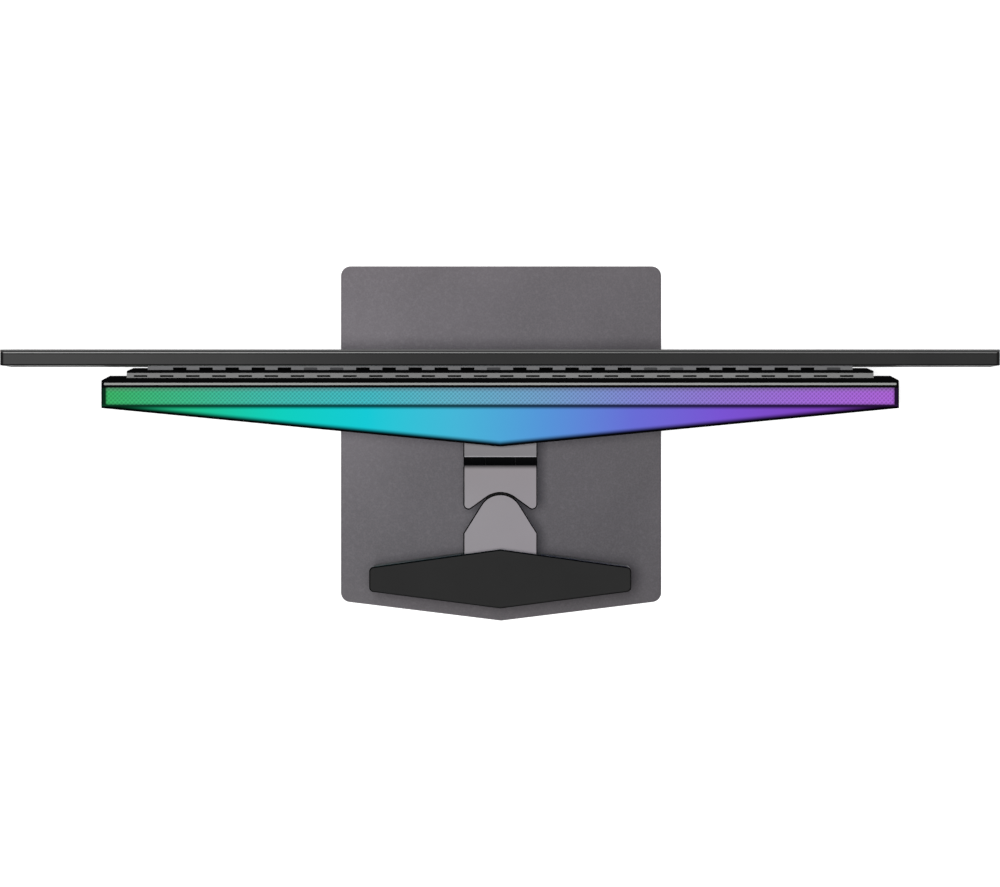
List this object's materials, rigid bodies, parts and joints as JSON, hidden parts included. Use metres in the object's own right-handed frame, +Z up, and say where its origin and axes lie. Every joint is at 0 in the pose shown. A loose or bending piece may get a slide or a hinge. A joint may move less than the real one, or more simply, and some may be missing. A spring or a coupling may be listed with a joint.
{
  "type": "desktop monitor",
  "caption": "Flat LED-lit desktop display with a wide V-shaped light housing behind it, on a height, swivel and tilt stand with a flat base plate.",
  "frame": {"origin": "on the desk under the middle of the overall outline", "axes": "+X to the right seen from the front, +Y from the screen towards the back, +Z up"},
  "size_m": [0.6134, 0.2232, 0.47],
  "materials": {
    "blasted_base_metal": "fine blasted satin",
    "neck_metal": "satin",
    "hood_metal": "satin",
    "column_plastic": "fine grained satin",
    "sleeve_plastic": "matte",
    "panel_plastic": "fine grained matte",
    "bezel_plastic": "matte",
    "screen_film": "anti-glare",
    "grille_plastic": "satin",
    "tier_plastic": "satin",
    "trim_plastic": "satin",
    "lit_lens": "ribbed, lit from behind",
    "lit_diffuser": "milky, lit from behind",
    "frame_plastic": "satin",
    "clear_acrylic": "polished",
    "white_film": "satin",
    "sheet_steel": "zinc plated",
    "black_steel": "satin",
    "bright_steel": "ground",
    "screw_steel": "blackened",
    "socket_metal": "plated",
    "carriage_metal": "cast",
    "board_laminate": "solder mask",
    "component_black": "moulded",
    "light_chip": "moulded",
    "wear_plastic": "moulded",
    "foot_rubber": "matte",
    "key_plastic": "matte"
  },
  "bodies": {
    "base": {"base_plate": "blasted_base_metal", "base_feet": "foot_rubber", "stand_screws": "screw_steel", "column_foot": "sheet_steel", "column_spine": "sheet_steel", "column_front_cover": "column_plastic", "column_rear_cover": "column_plastic", "column_top_cap": "column_plastic", "cable_sleeve": "sleeve_plastic", "spool_pins": "bright_steel"},
    "arm": {"carriage": "carriage_metal", "glide_shoes": "wear_plastic", "swivel_arm": "neck_metal", "arm_screws": "screw_steel", "swivel_pin": "bright_steel", "swivel_washers": "wear_plastic", "spring_tapes": "bright_steel"},
    "spring_reels": {"spring_coils": "bright_steel"},
    "swivel": {"swivel_block": "neck_metal", "hinge_barrels": "black_steel"},
    "display": {"tilt_yoke": "hood_metal", "tilt_knuckle": "black_steel", "tilt_shaft": "bright_steel", "friction_discs": "wear_plastic", "mount_plate": "black_steel", "mount_screws": "screw_steel", "mount_well": "sleeve_plastic", "mount_bracket": "sheet_steel", "support_posts": "sheet_steel", "mainboard": "board_laminate", "driver_board": "board_laminate", "board_components": "component_black", "heat_sink": "carriage_metal", "data_sockets": "socket_metal", "power_jack": "component_black", "io_panel": "sleeve_plastic", "key_board": "board_laminate", "front_bezel": "bezel_plastic", "lcd_screen": "screen_film", "optical_sheets": "white_film", "light_guide": "clear_acrylic", "backlight_bar": "board_laminate", "panel_chassis": "sheet_steel", "panel_cover": "panel_plastic", "vent_ring_inner": "grille_plastic", "tier_plate_inner": "tier_plastic", "vent_ring_outer": "grille_plastic", "tier_plate_outer": "tier_plastic", "light_tray": "tier_plastic", "trim_strip": "trim_plastic", "lens_bands": "lit_lens", "rear_diffuser": "lit_diffuser", "rear_frame": "frame_plastic", "light_strips": "board_laminate", "light_chips": "light_chip"},
    "power_button": {"power_button": "key_plastic"},
    "joystick_gimbal": {"joystick_gimbal": "key_plastic"},
    "joystick_rocker": {"joystick_rocker": "key_plastic"},
    "joystick_cap": {"joystick_cap": "key_plastic", "joystick_stem": "key_plastic"}
  },
  "joints": [
    {"name": "height_slide", "type": "slide", "parent": "base", "child": "arm", "axis": [0, 0, 1], "range_m": [-0.07, 0.06], "deforming": ["spring_tapes"]},
    {"name": "spring_reel_turn", "type": "hinge", "parent": "base", "child": "spring_reels", "pos_m": [0, 0.0834, 0.352], "axis": [1, 0, 0], "range_deg": [-480, 560]},
    {"name": "swivel_turn", "type": "hinge", "parent": "arm", "child": "swivel", "pos_m": [0, 0.0454, 0.288], "axis": [0, 0, 1], "range_deg": [-20, 20]},
    {"name": "display_tilt", "type": "hinge", "parent": "swivel", "child": "display", "pos_m": [0, 0.003, 0.288], "axis": [-1, 0, 0], "range_deg": [-5, 20]},
    {"name": "power_press", "type": "slide", "parent": "display", "child": "power_button", "axis": [0, 0, 1], "range_m": [0, 0.0008], "stiffness_N_per_m": 900, "springref_m": -0.0005},
    {"name": "joystick_side", "type": "hinge", "parent": "display", "child": "joystick_gimbal", "pos_m": [0.206, -0.02955, 0.17], "axis": [0, 1, 0], "range_deg": [-6, 6], "stiffness_Nm_per_rad": 0.06},
    {"name": "joystick_fore", "type": "hinge", "parent": "joystick_gimbal", "child": "joystick_rocker", "pos_m": [0.206, -0.02955, 0.17], "axis": [1, 0, 0], "range_deg": [-6, 6], "stiffness_Nm_per_rad": 0.06},
    {"name": "joystick_press", "type": "slide", "parent": "joystick_rocker", "child": "joystick_cap", "axis": [0, 0, 1], "range_m": [0, 0.0005], "stiffness_N_per_m": 1200, "springref_m": -0.0004}
  ],
  "couplings": [
    {"joint": "spring_reel_turn", "follows": "height_slide", "rad_per_m": -135.13}
  ]
}
